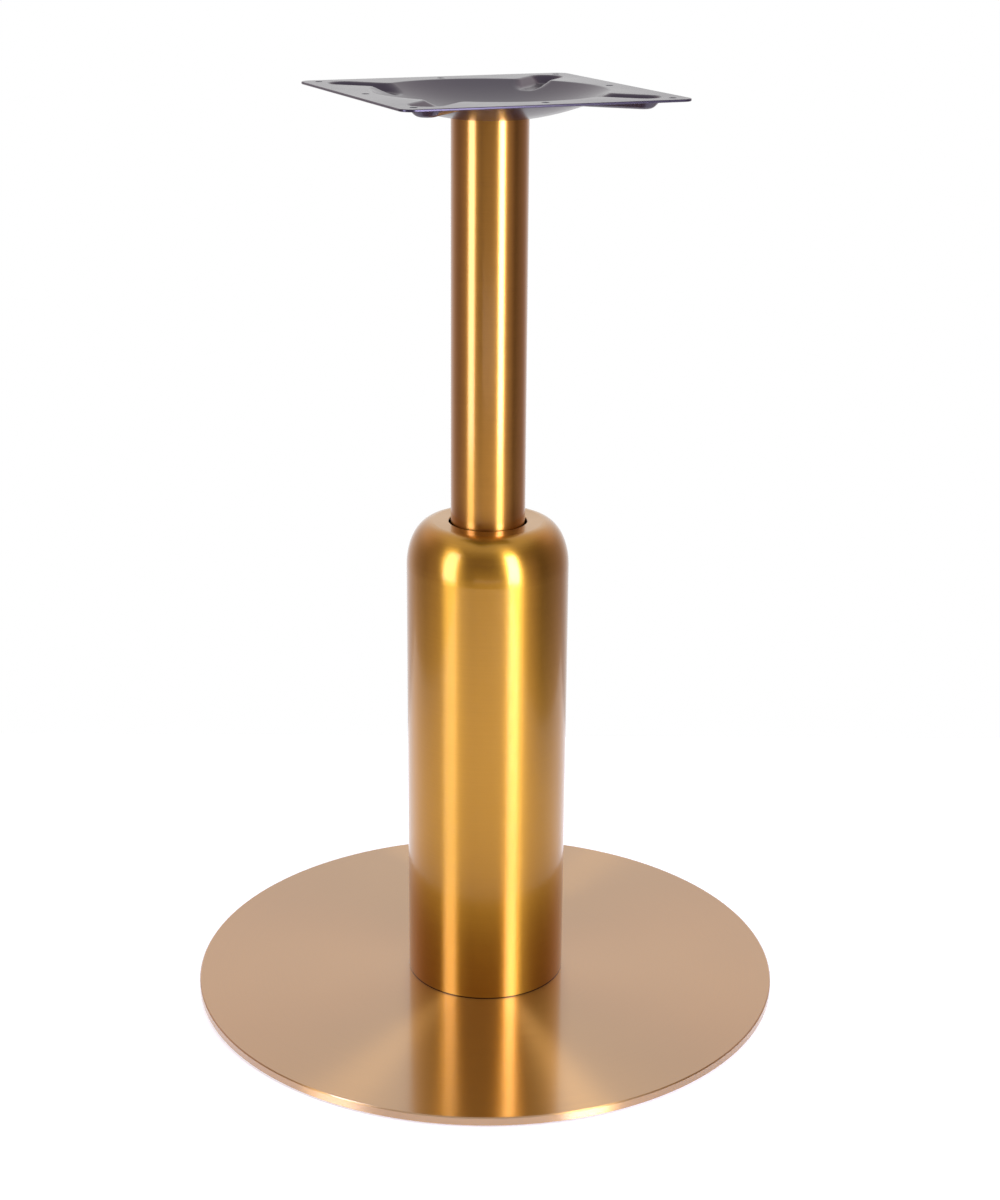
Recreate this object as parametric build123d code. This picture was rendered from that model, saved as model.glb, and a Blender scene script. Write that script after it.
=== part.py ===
from build123d import *
from math import cos, hypot, radians, tan
import os

# Pedestal table base: a flat round foot, a tube that carries a pressed top plate, and a wide spun
# sleeve over the lower half of the tube. Sizes are in millimetres. The origin is on the floor under
# the middle of the foot, Z points up, and the edges of the top plate run along X and Y.

# Overall height, from the floor to the face that the table top lies on
table_height = 710.0

# Round foot and the pads under it
disc_diameter = 466.0
disc_thickness = 7.0
disc_edge_bevel = 0.8
glide_diameter = 25.0
glide_thickness = 2.0
glide_edge_bevel = 0.5
glide_edge_distance = 12.0
glide_count = 6

# Column tube and its spun sleeve
tube_diameter = 57.0
tube_wall = 2.0
sleeve_diameter = 125.0
sleeve_wall = 1.5
sleeve_height = 379.0
shoulder_reach = 20.5
shoulder_drop = 35.0
sleeve_hole_gap = 1.5
sleeve_hole_bevel = 0.5

# Ring welded round the foot of the tube, and plug welded into its top
flange_thickness = 8.0
flange_gap = 0.5
plug_length = 25.0
weld_gap = 0.1

# Countersunk screws that hold the flange to the foot
screw_diameter = 8.0
screw_head_diameter = 16.0
screw_head_sink = 0.3
screw_hole_gap = 0.25
screw_tip_gap = 1.0
screw_socket_width = 5.0
screw_socket_depth = 3.0
screw_count = 4
thread_gap = 0.05

# Pressed top plate
plate_width = 217.0
plate_sheet = 1.8
plate_corner_round = 9.0
plate_edge_bevel = 0.4
dish_margin = 22.0
dish_depth = 17.0
seat_margin = 3.5
seat_blend = 20.0
channel_width = 25.5
channel_depth = 6.5
channel_margin = 26.0
channel_slope = 45.0
channel_floor_round = 5.0
channel_blend = 11.0
lip_round = 4.0
fixing_hole_diameter = 5.5
corner_hole_inset = 12.0
edge_hole_inset = 13.5

# Low domed bolt that clamps the plate to the plug, and its wide washer
bolt_diameter = 10.0
bolt_length = 25.0
bolt_head_diameter = 17.5
bolt_head_height = 5.5
bolt_crown_diameter = 9.0
bolt_socket_width = 6.0
bolt_socket_depth = 3.0
bolt_tip_chamfer = 1.0
bolt_hole_gap = 0.5
washer_diameter = 30.0
washer_thickness = 2.0

# Levels and radii that follow from the sizes above
disc_bottom = glide_thickness
disc_top = disc_bottom + disc_thickness
sleeve_top = disc_top + sleeve_height
flange_top = disc_top + flange_thickness
flange_under = table_height - plate_sheet
seat_top = table_height - dish_depth
tube_top = seat_top - plate_sheet
tube_radius = tube_diameter / 2
sleeve_radius = sleeve_diameter / 2
dish_radius = plate_width / 2 - dish_margin
seat_radius = tube_radius + seat_margin
channel_reach = hypot(plate_width / 2, plate_width / 2) - channel_margin
flange_radius = sleeve_radius - sleeve_wall - flange_gap
screw_circle_radius = (tube_radius + flange_radius) / 2
screw_head_bottom = disc_bottom + screw_head_sink
screw_head_top = screw_head_bottom + (screw_head_diameter - screw_diameter) / 2
bolt_head_bottom = seat_top + washer_thickness
bolt_hole_diameter = bolt_diameter + 2 * bolt_hole_gap

# Extra length of a cutter past the face that it opens
overshoot = 3.0


def ring(outer_radius, inner_radius, bottom, top):
    """Flat or tall ring round the Z axis."""
    section = Pos((inner_radius + outer_radius) / 2, 0, (bottom + top) / 2) * (
        Plane.XZ * Rectangle(outer_radius - inner_radius, top - bottom)
    )
    return revolve(section, Axis.Z)


def ball_level(wide_radius, narrow_radius, height):
    """Level of a ball's middle above its wide circle, where a narrow one lies at that height."""
    return (narrow_radius**2 + height**2 - wide_radius**2) / (2 * height)


def countersunk_form(shank_radius, cone_bottom, top):
    """Shank and head cone of a countersunk screw, or the hole whose cone the head seats in."""
    upright = (Align.CENTER, Align.CENTER, Align.MIN)
    cone_height = screw_head_top - cone_bottom
    head = Cone(screw_diameter / 2 + cone_height, screw_diameter / 2, cone_height, align=upright)
    shank = Cylinder(shank_radius, top - cone_bottom, align=upright)
    return Pos(0, 0, cone_bottom) * (head + shank)


def make_base_disc():
    disc = Pos(0, 0, disc_bottom) * extrude(Circle(disc_diameter / 2), disc_thickness)
    disc = chamfer(disc.edges(), disc_edge_bevel)
    hole = countersunk_form(screw_diameter / 2 + screw_hole_gap, disc_bottom, disc_top)
    return disc - [place * hole for place in PolarLocations(screw_circle_radius, screw_count)]


def make_floor_glides():
    pad = extrude(Circle(glide_diameter / 2), glide_thickness)
    pad = chamfer(pad.edges().group_by(Axis.Z)[0], glide_edge_bevel)
    reach = (disc_diameter - glide_diameter) / 2 - glide_edge_distance
    return [place * pad for place in PolarLocations(reach, glide_count)]


def make_foot_flange():
    flange = ring(flange_radius, tube_radius + weld_gap, disc_top, flange_top)
    hole = Pos(0, 0, disc_top) * extrude(Circle(screw_diameter / 2 + thread_gap), flange_thickness)
    return flange - [place * hole for place in PolarLocations(screw_circle_radius, screw_count)]


def make_flange_screws():
    socket = extrude(RegularPolygon(screw_socket_width / 2, 6, major_radius=False), screw_socket_depth)
    screw = countersunk_form(screw_diameter / 2, screw_head_bottom, flange_top - screw_tip_gap)
    screw -= Pos(0, 0, screw_head_bottom) * socket
    return [place * screw for place in PolarLocations(screw_circle_radius, screw_count)]


def make_column_tube():
    return ring(tube_radius, tube_radius - tube_wall, disc_top, tube_top)


def make_column_sleeve():
    """Spun cover: a straight side, an elliptical shoulder and a flat top with a hole for the tube."""
    inside_radius = sleeve_radius - sleeve_wall
    under_top = sleeve_top - sleeve_wall
    hole_radius = tube_radius + sleeve_hole_gap
    shoulder_centre = (sleeve_radius - shoulder_reach, sleeve_top - shoulder_drop)
    outer_arc = EllipticalCenterArc(shoulder_centre, shoulder_reach, shoulder_drop, arc_size=90)
    inner_arc = EllipticalCenterArc(
        shoulder_centre, shoulder_reach - sleeve_wall, shoulder_drop - sleeve_wall, arc_size=90
    )
    outline = [
        Line((sleeve_radius, disc_top), outer_arc @ 0),
        outer_arc,
        Line(outer_arc @ 1, (hole_radius, sleeve_top)),
        Line((hole_radius, sleeve_top), (hole_radius, under_top)),
        Line((hole_radius, under_top), inner_arc @ 1),
        inner_arc,
        Line(inner_arc @ 0, (inside_radius, disc_top)),
        Line((inside_radius, disc_top), (sleeve_radius, disc_top)),
    ]
    section = make_face(outline)
    hole_rim = section.vertices().sort_by(Axis.X).group_by(Axis.X)[0].sort_by(Axis.Y)[-1]
    section = chamfer(hole_rim, sleeve_hole_bevel)
    return revolve(Plane.XZ * section, Axis.Z)


def make_tube_plug():
    hole_radius = bolt_diameter / 2 + thread_gap
    return ring(tube_radius - tube_wall - weld_gap, hole_radius, tube_top - plug_length, tube_top)


def bowl_form(skin):
    """Round bowl with a flat seat: part of a ball whose middle is on the Z axis."""
    ball_centre = -ball_level(dish_radius, seat_radius, dish_depth)
    ball_radius = hypot(dish_radius, ball_centre) + skin
    depth = dish_depth + skin
    section = Pos(0, ball_centre) * Circle(ball_radius)
    section &= Pos(dish_radius, (overshoot - depth) / 2) * Rectangle(2 * dish_radius, overshoot + depth)
    seat_edge = section.vertices().group_by(Axis.Y)[0].sort_by(Axis.X)[-1]
    section = fillet(seat_edge, seat_blend + skin)
    return revolve(Plane.XZ * section, Axis.Z)


def channel_form(skin):
    """Sloping slot along X, with a rounded floor, that runs out under a corner of the plate."""
    slope = radians(channel_slope)
    widen = overshoot * tan(slope) + skin / cos(slope)
    slot = SlotOverall(2 * (channel_reach + widen), channel_width + 2 * widen)
    mouth = Plane((0, 0, overshoot), z_dir=(0, 0, -1))
    form = extrude(mouth * slot, overshoot + channel_depth + skin, taper=channel_slope)
    return fillet(form.edges().group_by(Axis.Z)[0], channel_floor_round + skin)


def recess_form(skin):
    """Dish and corner channels as one solid: the hollow seen from above, or grown by the sheet."""
    bowl = bowl_form(skin)
    channels = [Rot(0, 0, angle) * channel_form(skin) for angle in (45, 135)]
    form = bowl + channels
    seams = new_edges(bowl, *channels, combined=form)
    seams = [edge for edge in seams if edge.bounding_box().min.Z < 0]
    form = fillet(seams, channel_blend - skin)
    return Pos(0, 0, table_height) * form


def recess_rim(plate, level):
    """Edges of the recess in the flat face of the plate at that level."""
    flats = plate.faces().filter_by(Plane.XY)
    flats = flats.filter_by_position(Axis.Z, level - plate_edge_bevel, level + plate_edge_bevel)
    return flats.sort_by(SortBy.AREA)[-1].inner_wires()[0].edges()


def make_top_plate():
    """Square of sheet, pressed into a dish with a channel to each corner."""
    blank = RectangleRounded(plate_width, plate_width, plate_corner_round)
    plate = Pos(0, 0, flange_under) * extrude(blank, plate_sheet)
    plate = chamfer(plate.edges().filter_by(Plane.XY), plate_edge_bevel)
    above = Pos(0, 0, flange_under + plate_sheet / 2) * extrude(
        Rectangle(2 * plate_width, 2 * plate_width), 2 * overshoot + plate_sheet
    )
    plate += recess_form(plate_sheet) - above
    plate = fillet(recess_rim(plate, flange_under), lip_round + plate_sheet)
    plate -= recess_form(0)
    plate = fillet(recess_rim(plate, table_height), lip_round)
    return plate - fixing_holes()


def fixing_holes():
    """Holes for the table top's screws, at the corners and the middle of each edge, and the bolt hole."""
    corner = plate_width / 2 - corner_hole_inset
    edge = plate_width / 2 - edge_hole_inset
    drill = Pos(0, 0, flange_under) * extrude(Circle(fixing_hole_diameter / 2), plate_sheet)
    places = list(PolarLocations(edge, 4)) + list(GridLocations(2 * corner, 2 * corner, 2, 2))
    bolt_hole = Pos(0, 0, tube_top) * extrude(Circle(bolt_hole_diameter / 2), plate_sheet)
    return [place * drill for place in places] + [bolt_hole]


def make_top_bolt():
    """Domed bolt: its head is a cap of a ball with a flat crown and a hexagon socket."""
    head_radius = bolt_head_diameter / 2
    ball_centre = ball_level(head_radius, bolt_crown_diameter / 2, bolt_head_height)
    upright = (Align.CENTER, Align.CENTER, Align.MIN)
    head = Pos(0, 0, ball_centre) * Sphere(hypot(head_radius, ball_centre))
    head &= Cylinder(head_radius, bolt_head_height, align=upright)
    socket = extrude(RegularPolygon(bolt_socket_width / 2, 6, major_radius=False), bolt_socket_depth)
    head -= Pos(0, 0, bolt_head_height - bolt_socket_depth) * socket
    shank = Pos(0, 0, -bolt_length) * extrude(Circle(bolt_diameter / 2), bolt_length)
    shank = chamfer(shank.edges().group_by(Axis.Z)[0], bolt_tip_chamfer)
    return Pos(0, 0, bolt_head_bottom) * (head + shank)


def make_plain_washer():
    return ring(washer_diameter / 2, bolt_hole_diameter / 2, seat_top, bolt_head_bottom)


pieces = {
    "base_disc": make_base_disc(),
    "floor_glides": make_floor_glides(),
    "foot_flange": make_foot_flange(),
    "flange_screws": make_flange_screws(),
    "column_tube": make_column_tube(),
    "column_sleeve": make_column_sleeve(),
    "tube_plug": make_tube_plug(),
    "top_plate": make_top_plate(),
    "plain_washer": make_plain_washer(),
    "top_bolt": make_top_bolt(),
}

os.makedirs("parts", exist_ok=True)
for name, piece in pieces.items():
    solids = piece if isinstance(piece, list) else [piece]
    export_step(Compound([solid for item in solids for solid in item.solids()]), f"parts/{name}.step")
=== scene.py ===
import bpy
from math import cos, pi, radians, sin
from mathutils import Matrix, Vector

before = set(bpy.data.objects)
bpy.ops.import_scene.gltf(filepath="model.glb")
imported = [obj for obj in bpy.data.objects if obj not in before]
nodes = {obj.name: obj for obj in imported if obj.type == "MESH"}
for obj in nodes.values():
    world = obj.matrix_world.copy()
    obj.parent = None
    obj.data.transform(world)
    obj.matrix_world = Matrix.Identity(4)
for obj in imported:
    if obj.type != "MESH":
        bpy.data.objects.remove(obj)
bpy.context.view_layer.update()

# Camera, in metres, radians and pixels of the 1000 x 1200 picture. Its azimuth is from the -Y axis,
# towards -X.
camera_azimuth = 0.4059
camera_distance = 1.5542
camera_height = 0.8571
camera_pitch = 0.3308
camera_yaw = 0.00626
camera_roll = 0.00762
focal_pixels = 2118.4
picture_height = 1200
sensor_size = 36.0

# Directions on the floor: from the object to the camera, and to the right of the picture
to_camera = Vector((-sin(camera_azimuth), -cos(camera_azimuth), 0))
to_right = Vector((cos(camera_azimuth), -sin(camera_azimuth), 0))

# White cards of the studio: their colour, and the refractive index of their gloss
card_colour = (0.8, 0.8, 0.8, 1)
card_index = 1.75

# White sheet under the object: its reach to the left, to the right, to the camera and to the backdrop,
# its roughness, and its glow where it is seen and where metal mirrors it
sheet_left = 0.75
sheet_right = 0.63
sheet_front = 1.20
sheet_back = 0.50
sheet_roughness = 0.16
sheet_glow_seen = 0.44
sheet_glow_mirrored = 0.36

# Low card that stands on the floor behind the camera: distance from the object, height, half its width,
# roughness and glow
low_card_distance = 2.0
low_card_height = 0.20
low_card_reach = 0.70
low_card_roughness = 0.6
low_card_glow = 1.0

# Studio round the object, as brightness by the azimuth from the camera, in degrees to the right:
# near the horizon, on the upper walls, and the share of the white backdrop that shows in metal
lower_wall = (
    (-140, 0.55),
    (-119, 0.40),
    (-99, 0.28),
    (-82, 0.42),
    (-60, 0.34),
    (-20, 0.20),
    (20, 0.22),
    (50, 0.42),
    (67, 0.42),
    (82, 0.14),
    (99, 0.26),
    (119, 0.36),
    (150, 0.50),
)
upper_wall = (
    (-150, 0.85),
    (-132, 0.88),
    (-118, 0.72),
    (-103, 0.47),
    (-85, 0.34),
    (-60, 0.28),
    (-30, 0.26),
    (30, 0.26),
    (60, 0.28),
    (85, 0.22),
    (103, 0.32),
    (118, 0.58),
    (132, 0.80),
    (150, 0.85),
)
backdrop_share = (
    (-179, 1.0),
    (-176, 0.96),
    (-172, 0.86),
    (-150, 0.42),
    (-116, 0.0),
    (128, 0.0),
    (150, 0.42),
    (172, 0.86),
    (176, 0.96),
    (179, 1.0),
)

# Colour of the walls, the degrees above the horizon between which they turn into the upper walls and
# those into the ceiling, and the brightness of the ceiling
wall_colour = (1.0, 0.80, 0.85)
upper_wall_start = 8
upper_wall_end = 26
ceiling_start = 35
ceiling_end = 65
ceiling_brightness = 0.90

# Two tall softboxes: height, level of the lower edge, distance and colour of both, then for each of them
# the azimuth from the camera, the width and the radiance
softbox_height = 1.50
softbox_level = 0.02
softbox_distance = 1.6
softbox_colour = (0.90, 1.0, 1.40)
softboxes = {
    "softbox_left": (-54, 0.56, 6.5),
    "softbox_right": (36.5, 0.44, 15.0),
}

# Noise values that stand for the lowest and the highest of what varies over a surface
noise_low = 0.3
noise_high = 0.7

# Brushed finishes: colour, depth of the brush marks, roughness, stretch of the highlights across the marks,
# its slant in degrees, and the refractive index of the lacquer
tube_brass = {
    "colour": (0.49, 0.226, 0.037),
    "depth": 0.016,
    "roughness": 0.32,
    "anisotropy": 0.75,
    "slant": 0.0,
    "coat_index": 1.35,
}
sleeve_brass = {
    "colour": (0.49, 0.235, 0.024),
    "depth": 0.016,
    "roughness": 0.30,
    "anisotropy": 0.74,
    "slant": 12.0,
    "coat_index": 1.3,
}
disc_brass = {
    "colour": (0.50, 0.245, 0.055),
    "depth": 0.03,
    "roughness": 0.34,
    "anisotropy": 1.0,
    "slant": 0.0,
    "coat_index": 2.2,
}
lacquer_roughness = 0.12

# Share of a turn from the tangent round the axis to the way the highlights stretch
across_marks = 0.25

# Brush marks: how dense they are across, along and round the object, scale and detail of their noise,
# and how much they vary the tone, the roughness and the height of the surface
marks_across = 1800.0
marks_along = 14.0
marks_around = 3.0
marks_scale = 1.0
marks_detail = 4.0
marks_tone = 0.025
marks_roughness = 0.02
marks_height = 0.0001

# Faint clouds in the brushed metal
cloud_scale = 9.0
cloud_detail = 2.0
cloud_tone = 0.02

# Painted shadow along the lower edge of the sleeve, where it stands on the disc: height and softness in
# metres, and its tone
foot_shadow_height = 0.0011
foot_shadow_softness = 0.0004
foot_shadow_tone = 0.10

# Plain finishes: colour, metal or not, roughness, density and depth of the grain, and the tint of the gloss
dark_paint = {
    "colour": (0.018, 0.014, 0.022),
    "metallic": 0.0,
    "roughness": 0.20,
    "grain_scale": 1400.0,
    "grain_depth": 0.00004,
    "gloss": (1.0, 0.8, 1.0, 1),
}
zinc_plate = {
    "colour": (0.62, 0.63, 0.65),
    "metallic": 1.0,
    "roughness": 0.34,
    "grain_scale": 2200.0,
    "grain_depth": 0.00005,
}
machined_steel = {
    "colour": (0.36, 0.36, 0.37),
    "metallic": 1.0,
    "roughness": 0.4,
    "grain_scale": 1800.0,
    "grain_depth": 0.00005,
}
black_plastic = {
    "colour": (0.03, 0.03, 0.03),
    "metallic": 0.0,
    "roughness": 0.6,
    "grain_scale": 1600.0,
    "grain_depth": 0.0001,
}

# Grain and patches of the plain finishes
grain_detail = 2.0
grain_strength = 0.25
patch_scale = 14.0
patch_detail = 3.0
patch_tone = 0.1
patch_roughness = 0.03


class ShaderTree:
    """A node tree that is written from its inputs to its output."""

    def __init__(self, tree):
        self.tree = tree
        tree.nodes.clear()

    def add(self, kind, settings=None, **inputs):
        """Adds a node. An input is a constant, or another node's output."""
        node = self.tree.nodes.new(kind)
        for name, value in (settings or {}).items():
            setattr(node, name, value)
        for name, value in inputs.items():
            numbered = name[0] == "i" and name[1:].isdigit()
            socket = node.inputs[int(name[1:]) if numbered else name.replace("_", " ")]
            if isinstance(value, bpy.types.NodeSocket):
                self.tree.links.new(value, socket)
            else:
                socket.default_value = value
        return node

    def math(self, operation, first, second=0.0):
        return self.add("ShaderNodeMath", {"operation": operation}, i0=first, i1=second).outputs[0]

    def dot(self, vector, direction):
        settings = {"operation": "DOT_PRODUCT"}
        return self.add("ShaderNodeVectorMath", settings, i0=vector, i1=direction).outputs["Value"]

    def remap(self, value, low, high, new_low, new_high, smooth=False):
        settings = {"interpolation_type": "SMOOTHSTEP" if smooth else "LINEAR"}
        node = self.add("ShaderNodeMapRange", settings, Value=value)
        limits = {"From Min": low, "From Max": high, "To Min": new_low, "To Max": new_high}
        for name, limit in limits.items():
            node.inputs[name].default_value = limit
        return node.outputs["Result"]

    def vary(self, noise, middle, reach):
        """Value that the noise moves up and down about its middle."""
        return self.remap(noise, noise_low, noise_high, middle - reach, middle + reach)

    def mix(self, factor, first, second):
        """One grey value or another, by the factor."""
        node = self.add("ShaderNodeMix", {"data_type": "FLOAT"}, i0=factor, i2=first, i3=second)
        return node.outputs[0]

    def mix_colour(self, factor, first, second):
        """One colour, as a node's output, or another, as three numbers, by the factor."""
        node = self.add("ShaderNodeMix", {"data_type": "RGBA"}, i0=factor, i6=first, i7=(*second, 1))
        return node.outputs[2]

    def table(self, value, points):
        """Value by an azimuth in degrees, with straight stretches between the points."""
        ramp = self.add("ShaderNodeValToRGB", Fac=self.remap(value, -180, 180, 0.0, 1.0))
        stops = ramp.color_ramp.elements
        while len(stops) < len(points):
            stops.new(0.5)
        for stop, (angle, brightness) in zip(stops, points):
            stop.position = (angle + 180) / 360
            stop.color = (brightness, brightness, brightness, 1)
        return ramp.outputs["Color"]

    def noise(self, vector, scale, detail):
        node = self.add("ShaderNodeTexNoise", Vector=vector, Scale=scale, Detail=detail)
        return node.outputs["Fac"]

    def shade(self, colour, factor):
        """Colour times a grey factor."""
        node = self.add("ShaderNodeVectorMath", {"operation": "SCALE"}, i0=colour)
        self.tree.links.new(factor, node.inputs["Scale"])
        return node.outputs["Vector"]

    def ray_kinds(self):
        """Whether a ray comes from the camera, and whether from a glossy or clear surface."""
        path = self.add("ShaderNodeLightPath").outputs
        mirrored = self.math("MAXIMUM", path["Is Glossy Ray"], path["Is Transmission Ray"])
        return path["Is Camera Ray"], mirrored

    def output(self, kind, shader):
        node = self.tree.nodes.new(kind)
        self.tree.links.new(shader, node.inputs["Surface"])


def new_material(name):
    material = bpy.data.materials.new(name)
    material.use_nodes = True
    return material, ShaderTree(material.node_tree)


def add_object(name, data):
    item = bpy.data.objects.new(name, data)
    bpy.context.scene.collection.objects.link(item)
    return item


def object_point(tree):
    return tree.add("ShaderNodeTexCoord").outputs["Object"]


def column_marks(tree, point):
    """Coordinates in which the brush marks of a turned tube lie level round its axis."""
    scale = (marks_along, marks_along, marks_across)
    node = tree.add("ShaderNodeVectorMath", {"operation": "MULTIPLY"}, i0=point, i1=scale)
    return node.outputs["Vector"]


def disc_marks(tree, point):
    """Coordinates in which the brush marks of a turned disc lie in circles."""
    parts = tree.add("ShaderNodeSeparateXYZ", Vector=point).outputs
    flat = tree.add("ShaderNodeCombineXYZ", X=parts["X"], Y=parts["Y"]).outputs["Vector"]
    radius = tree.add("ShaderNodeVectorMath", {"operation": "LENGTH"}, i0=flat).outputs["Value"]
    around = tree.add("ShaderNodeVectorMath", {"operation": "NORMALIZE"}, i0=flat).outputs["Vector"]
    around = tree.add("ShaderNodeSeparateXYZ", Vector=around).outputs
    return tree.add(
        "ShaderNodeCombineXYZ",
        X=tree.math("MULTIPLY", around["X"], marks_around),
        Y=tree.math("MULTIPLY", around["Y"], marks_around),
        Z=tree.math("MULTIPLY", radius, marks_across),
    ).outputs["Vector"]


def brushed_metal(name, marks, colour, depth, roughness, anisotropy, slant, coat_index, painted_shadow_below=None):
    """Metal with brush marks in its colour, roughness and surface, under a thin clear lacquer, and a
    painted shadow below a given level.
    """
    material, tree = new_material(name)
    point = object_point(tree)
    streak = tree.noise(marks(tree, point), marks_scale, marks_detail)
    cloud = tree.noise(point, cloud_scale, cloud_detail)
    tone = tree.math("MULTIPLY", tree.vary(streak, 1.0, marks_tone), tree.vary(cloud, 1.0, cloud_tone))
    # Painted contact shadow: the colour darkens below the given level
    if painted_shadow_below is not None:
        level = tree.add("ShaderNodeSeparateXYZ", Vector=point).outputs["Z"]
        painted_foot_shadow = tree.remap(level, painted_shadow_below - foot_shadow_softness, painted_shadow_below, foot_shadow_tone, 1.0, smooth=True)
        tone = tree.math("MULTIPLY", tone, painted_foot_shadow)
    bump = tree.add("ShaderNodeBump", Strength=depth, Distance=marks_height, Height=streak)
    tangent = tree.add("ShaderNodeTangent", {"direction_type": "RADIAL", "axis": "Z"})
    shader = tree.add(
        "ShaderNodeBsdfPrincipled",
        Base_Color=tree.shade(colour, tone),
        Metallic=1.0,
        Roughness=tree.vary(streak, roughness, marks_roughness),
        Anisotropic=anisotropy,
        Anisotropic_Rotation=across_marks + slant / 360,
        Coat_Weight=1.0,
        Coat_Roughness=lacquer_roughness,
        Coat_IOR=coat_index,
        Normal=bump.outputs["Normal"],
        Tangent=tangent.outputs["Tangent"],
    )
    tree.output("ShaderNodeOutputMaterial", shader.outputs["BSDF"])
    return material


def grained_finish(name, colour, metallic, roughness, grain_scale, grain_depth, gloss=(1, 1, 1, 1)):
    """Plain finish with a fine grain, such as powder coat, zinc plate or moulded plastic."""
    material, tree = new_material(name)
    point = object_point(tree)
    grain = tree.noise(point, grain_scale, grain_detail)
    patch = tree.noise(point, patch_scale, patch_detail)
    bump = tree.add("ShaderNodeBump", Strength=grain_strength, Distance=grain_depth, Height=grain)
    shader = tree.add(
        "ShaderNodeBsdfPrincipled",
        Base_Color=tree.shade(colour, tree.vary(patch, 1.0, patch_tone)),
        Metallic=metallic,
        Roughness=tree.vary(patch, roughness, patch_roughness),
        Specular_Tint=gloss,
        Normal=bump.outputs["Normal"],
    )
    tree.output("ShaderNodeOutputMaterial", shader.outputs["BSDF"])
    return material


def stage_card(name, points, roughness, glow_seen, glow_mirrored):
    """Flat pale card of the studio, with a white glow where it is seen and where metal mirrors it."""
    material, tree = new_material(name)
    seen, mirrored = tree.ray_kinds()
    strength = tree.math(
        "ADD",
        tree.math("MULTIPLY", seen, glow_seen),
        tree.math("MULTIPLY", mirrored, glow_mirrored),
    )
    gloss = tree.add(
        "ShaderNodeBsdfPrincipled", Base_Color=card_colour, Roughness=roughness, IOR=card_index
    )
    glow = tree.add("ShaderNodeEmission", Strength=strength)
    both = tree.add("ShaderNodeAddShader", i0=gloss.outputs[0], i1=glow.outputs[0])
    tree.output("ShaderNodeOutputMaterial", both.outputs[0])
    mesh = bpy.data.meshes.new(name)
    mesh.from_pydata(points, [], [(0, 1, 2, 3)])
    mesh.materials.append(material)
    add_object(name, mesh)


def make_cards():
    """Glossy sheet on the floor, and the low card behind the camera."""
    left, right = to_right * -sheet_left, to_right * sheet_right
    front, back = to_camera * sheet_front, to_camera * -sheet_back
    sheet = [front + left, front + right, back + right, back + left]
    stage_card("white_sheet", sheet, sheet_roughness, sheet_glow_seen, sheet_glow_mirrored)
    foot = to_camera * low_card_distance
    reach = to_right * low_card_reach
    rise = Vector((0, 0, low_card_height))
    card = [foot - reach, foot + reach, foot + reach + rise, foot - reach + rise]
    stage_card("low_card", card, low_card_roughness, low_card_glow, low_card_glow)


def make_world():
    """White backdrop behind the object, dimmer walls beside it and behind the camera, a soft ceiling."""
    world = bpy.data.worlds.new("studio")
    world.use_nodes = True
    bpy.context.scene.world = world
    tree = ShaderTree(world.node_tree)
    direction = tree.add("ShaderNodeTexCoord").outputs["Generated"]
    azimuth = tree.math("ARCTAN2", tree.dot(direction, to_right), tree.dot(direction, to_camera))
    azimuth = tree.math("DEGREES", azimuth)
    height = tree.dot(direction, (0, 0, 1))
    climb = [sin(radians(a)) for a in (upper_wall_start, upper_wall_end, ceiling_start, ceiling_end)]
    wall = tree.mix(
        tree.remap(height, climb[0], climb[1], 0.0, 1.0, smooth=True),
        tree.table(azimuth, lower_wall),
        tree.table(azimuth, upper_wall),
    )
    ceiling = tree.remap(height, climb[2], climb[3], 0.0, 1.0, smooth=True)
    studio = tree.mix_colour(ceiling, tree.shade(wall_colour, wall), (ceiling_brightness,) * 3)
    seen, mirrored = tree.ray_kinds()
    backdrop = tree.math("MULTIPLY", mirrored, tree.table(azimuth, backdrop_share))
    white = tree.math("MAXIMUM", seen, backdrop)
    colour = tree.mix_colour(white, studio, (1.0, 1.0, 1.0))
    background = tree.add("ShaderNodeBackground", Color=colour, Strength=1.0)
    tree.output("ShaderNodeOutputWorld", background.outputs[0])


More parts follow.
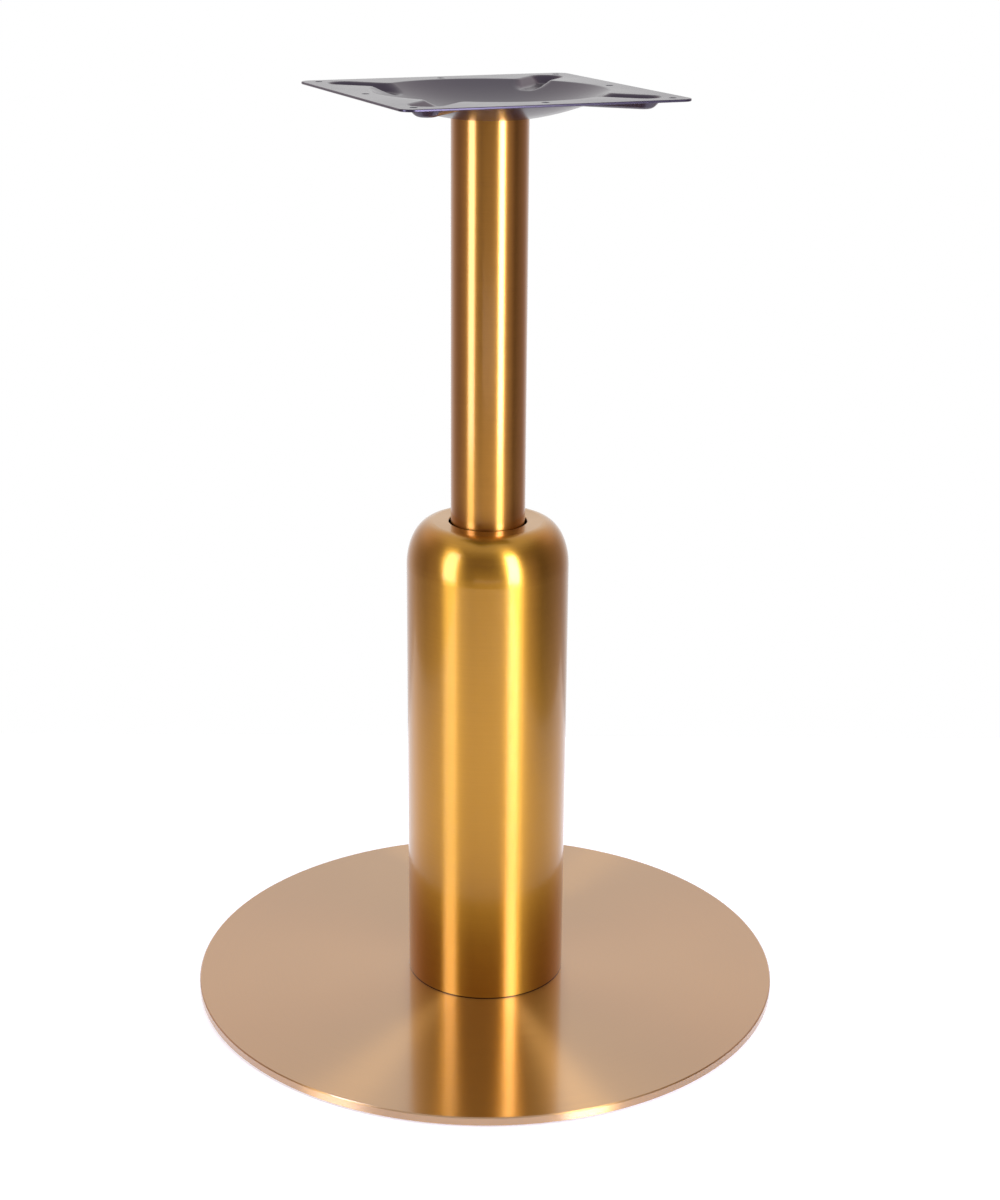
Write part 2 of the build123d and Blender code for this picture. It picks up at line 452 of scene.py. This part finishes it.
def make_softbox(name, azimuth, width, radiance):
    """Tall lamp that faces the object. Its power follows from its radiance and its area."""
    light = bpy.data.lights.new(name, "AREA")
    light.shape = "RECTANGLE"
    light.size, light.size_y = width, softbox_height
    light.energy = radiance * pi * width * softbox_height
    light.color = softbox_colour
    angle = radians(azimuth)
    stand = to_camera * cos(angle) + to_right * sin(angle)
    lamp = add_object(name, light)
    lamp.location = stand * softbox_distance + Vector((0, 0, softbox_level + softbox_height / 2))
    lamp.rotation_euler = stand.to_track_quat("Z", "Y").to_euler()
    lamp.visible_camera = False


def make_camera():
    data = bpy.data.cameras.new("camera")
    data.sensor_width = sensor_size
    data.lens = focal_pixels * sensor_size / picture_height
    camera = add_object("camera", data)
    place = Matrix.Translation(to_camera * camera_distance + Vector((0, 0, camera_height)))
    turn = Matrix.Rotation(-camera_azimuth - camera_yaw, 4, "Z")
    tilt = Matrix.Rotation(pi / 2 - camera_pitch, 4, "X")
    camera.matrix_world = place @ turn @ tilt @ Matrix.Rotation(camera_roll, 4, "Z")
    bpy.context.scene.camera = camera


def dress(material, *names):
    """Gives the named pieces of the model this finish alone."""
    for name in names:
        nodes[name].data.materials.clear()
        nodes[name].data.materials.append(material)


# The sleeve's brass, with a painted contact shadow along its foot on the disc
sleeve_foot = min(corner[2] for corner in nodes["column_sleeve"].bound_box)
sleeve_brass_and_shadow = brushed_metal(
    "sleeve_brass", column_marks, **sleeve_brass, painted_shadow_below=sleeve_foot + foot_shadow_height
)

dress(brushed_metal("tube_brass", column_marks, **tube_brass), "column_tube")
dress(sleeve_brass_and_shadow, "column_sleeve")
dress(brushed_metal("disc_brass", disc_marks, **disc_brass), "base_disc")
dress(grained_finish("dark_paint", **dark_paint), "top_plate")
dress(grained_finish("zinc_plate", **zinc_plate), "top_bolt", "plain_washer", "flange_screws")
dress(grained_finish("machined_steel", **machined_steel), "foot_flange", "tube_plug")
dress(grained_finish("black_plastic", **black_plastic), "floor_glides")

make_cards()
make_world()
for name, settings in softboxes.items():
    make_softbox(name, *settings)
make_camera()
bpy.context.scene.view_settings.view_transform = "Standard"
